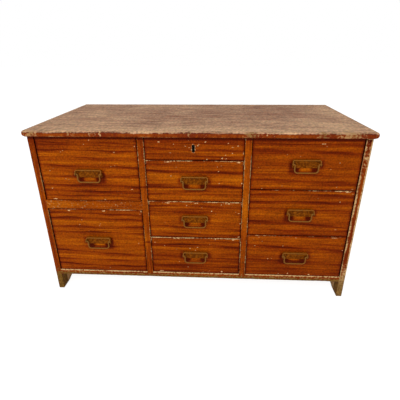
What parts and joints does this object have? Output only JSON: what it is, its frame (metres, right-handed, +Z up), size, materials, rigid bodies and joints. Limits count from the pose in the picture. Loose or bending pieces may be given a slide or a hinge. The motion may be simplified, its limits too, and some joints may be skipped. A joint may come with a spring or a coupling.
{
  "type": "drawer cabinet",
  "caption": "Low wooden table-top cabinet with columns of dovetailed drawers, hooded brass bail handles, a lockable shallow drawer and side boards cut into feet.",
  "frame": {"origin": "on the floor, under the middle of the whole object's width and depth", "axes": "+X to the right of someone facing the drawers, -Y out of the drawer fronts, +Z up"},
  "size_m": [0.716, 0.3658, 0.4015],
  "materials": {
    "front_wood": "old reddish varnish with dark streaks, worn",
    "carcass_wood": "old varnish, rubbed pale on the edges",
    "top_wood": "faded and scratched, dull",
    "drawer_wood": "bare planed softwood",
    "aged_brass": "tarnished stamped sheet and wire",
    "lock_iron": "dark iron"
  },
  "bodies": {
    "carcass": {"top_board": "top_wood", "top_nosing_left": "carcass_wood", "top_nosing_right": "carcass_wood", "side_left": "carcass_wood", "side_right": "carcass_wood", "bottom_board": "carcass_wood", "partition_left": "carcass_wood", "partition_right": "carcass_wood", "left_rail": "carcass_wood", "back_boards": "drawer_wood", "left_runners": "drawer_wood", "centre_runners": "drawer_wood", "right_runners": "drawer_wood", "drawer_stops": "drawer_wood", "glue_blocks": "drawer_wood"},
    "left_top_drawer": {"left_top_drawer_front": "front_wood", "left_top_drawer_box": "drawer_wood", "left_top_drawer_bottom": "drawer_wood", "left_top_handle_plate": "aged_brass"},
    "left_top_bail": {"left_top_handle_bail": "aged_brass"},
    "left_bottom_drawer": {"left_bottom_drawer_front": "front_wood", "left_bottom_drawer_box": "drawer_wood", "left_bottom_drawer_bottom": "drawer_wood", "left_bottom_handle_plate": "aged_brass"},
    "left_bottom_bail": {"left_bottom_handle_bail": "aged_brass"},
    "centre_lock_drawer": {"centre_lock_drawer_front": "front_wood", "centre_lock_drawer_box": "drawer_wood", "centre_lock_drawer_bottom": "drawer_wood", "lock_case": "lock_iron"},
    "centre_upper_drawer": {"centre_upper_drawer_front": "front_wood", "centre_upper_drawer_box": "drawer_wood", "centre_upper_drawer_bottom": "drawer_wood", "centre_upper_handle_plate": "aged_brass"},
    "centre_upper_bail": {"centre_upper_handle_bail": "aged_brass"},
    "centre_middle_drawer": {"centre_middle_drawer_front": "front_wood", "centre_middle_drawer_box": "drawer_wood", "centre_middle_drawer_bottom": "drawer_wood", "centre_middle_handle_plate": "aged_brass"},
    "centre_middle_bail": {"centre_middle_handle_bail": "aged_brass"},
    "centre_bottom_drawer": {"centre_bottom_drawer_front": "front_wood", "centre_bottom_drawer_box": "drawer_wood", "centre_bottom_drawer_bottom": "drawer_wood", "centre_bottom_handle_plate": "aged_brass"},
    "centre_bottom_bail": {"centre_bottom_handle_bail": "aged_brass"},
    "right_top_drawer": {"right_top_drawer_front": "front_wood", "right_top_drawer_box": "drawer_wood", "right_top_drawer_bottom": "drawer_wood", "right_top_handle_plate": "aged_brass"},
    "right_top_bail": {"right_top_handle_bail": "aged_brass"},
    "right_middle_drawer": {"right_middle_drawer_front": "front_wood", "right_middle_drawer_box": "drawer_wood", "right_middle_drawer_bottom": "drawer_wood", "right_middle_handle_plate": "aged_brass"},
    "right_middle_bail": {"right_middle_handle_bail": "aged_brass"},
    "right_bottom_drawer": {"right_bottom_drawer_front": "front_wood", "right_bottom_drawer_box": "drawer_wood", "right_bottom_drawer_bottom": "drawer_wood", "right_bottom_handle_plate": "aged_brass"},
    "right_bottom_bail": {"right_bottom_handle_bail": "aged_brass"},
    "lock_bolt": {"lock_bolt": "lock_iron"}
  },
  "joints": [
    {"name": "left_top_drawer_slide", "type": "slide", "parent": "carcass", "child": "left_top_drawer", "axis": [0, -1, 0], "range_m": [0, 0.25]},
    {"name": "left_top_bail_swing", "type": "hinge", "parent": "left_top_drawer", "child": "left_top_bail", "pos_m": [-0.229, -0.1797, 0.30975], "axis": [-1, 0, 0], "range_deg": [-15, 165]},
    {"name": "left_bottom_drawer_slide", "type": "slide", "parent": "carcass", "child": "left_bottom_drawer", "axis": [0, -1, 0], "range_m": [0, 0.25]},
    {"name": "left_bottom_bail_swing", "type": "hinge", "parent": "left_bottom_drawer", "child": "left_bottom_bail", "pos_m": [-0.229, -0.1797, 0.1445], "axis": [-1, 0, 0], "range_deg": [-15, 165]},
    {"name": "centre_lock_drawer_slide", "type": "slide", "parent": "carcass", "child": "centre_lock_drawer", "axis": [0, -1, 0], "range_m": [0, 0.25]},
    {"name": "centre_upper_drawer_slide", "type": "slide", "parent": "carcass", "child": "centre_upper_drawer", "axis": [0, -1, 0], "range_m": [0, 0.25]},
    {"name": "centre_upper_bail_swing", "type": "hinge", "parent": "centre_upper_drawer", "child": "centre_upper_bail", "pos_m": [-0.0035, -0.1797, 0.297], "axis": [-1, 0, 0], "range_deg": [-15, 165]},
    {"name": "centre_middle_drawer_slide", "type": "slide", "parent": "carcass", "child": "centre_middle_drawer", "axis": [0, -1, 0], "range_m": [0, 0.25]},
    {"name": "centre_middle_bail_swing", "type": "hinge", "parent": "centre_middle_drawer", "child": "centre_middle_bail", "pos_m": [-0.0035, -0.1797, 0.205], "axis": [-1, 0, 0], "range_deg": [-15, 165]},
    {"name": "centre_bottom_drawer_slide", "type": "slide", "parent": "carcass", "child": "centre_bottom_drawer", "axis": [0, -1, 0], "range_m": [0, 0.25]},
    {"name": "centre_bottom_bail_swing", "type": "hinge", "parent": "centre_bottom_drawer", "child": "centre_bottom_bail", "pos_m": [-0.0035, -0.1797, 0.1105], "axis": [-1, 0, 0], "range_deg": [-15, 165]},
    {"name": "right_top_drawer_slide", "type": "slide", "parent": "carcass", "child": "right_top_drawer", "axis": [0, -1, 0], "range_m": [0, 0.25]},
    {"name": "right_top_bail_swing", "type": "hinge", "parent": "right_top_drawer", "child": "right_top_bail", "pos_m": [0.2255, -0.1797, 0.33675], "axis": [-1, 0, 0], "range_deg": [-15, 165]},
    {"name": "right_middle_drawer_slide", "type": "slide", "parent": "carcass", "child": "right_middle_drawer", "axis": [0, -1, 0], "range_m": [0, 0.25]},
    {"name": "right_middle_bail_swing", "type": "hinge", "parent": "right_middle_drawer", "child": "right_middle_bail", "pos_m": [0.2255, -0.1797, 0.2255], "axis": [-1, 0, 0], "range_deg": [-15, 165]},
    {"name": "right_bottom_drawer_slide", "type": "slide", "parent": "carcass", "child": "right_bottom_drawer", "axis": [0, -1, 0], "range_m": [0, 0.25]},
    {"name": "right_bottom_bail_swing", "type": "hinge", "parent": "right_bottom_drawer", "child": "right_bottom_bail", "pos_m": [0.2255, -0.1797, 0.11575], "axis": [-1, 0, 0], "range_deg": [-15, 165]},
    {"name": "lock_bolt_throw", "type": "slide", "parent": "centre_lock_drawer", "child": "lock_bolt", "axis": [0, 0, 1], "range_m": [0, 0.007]}
  ]
}
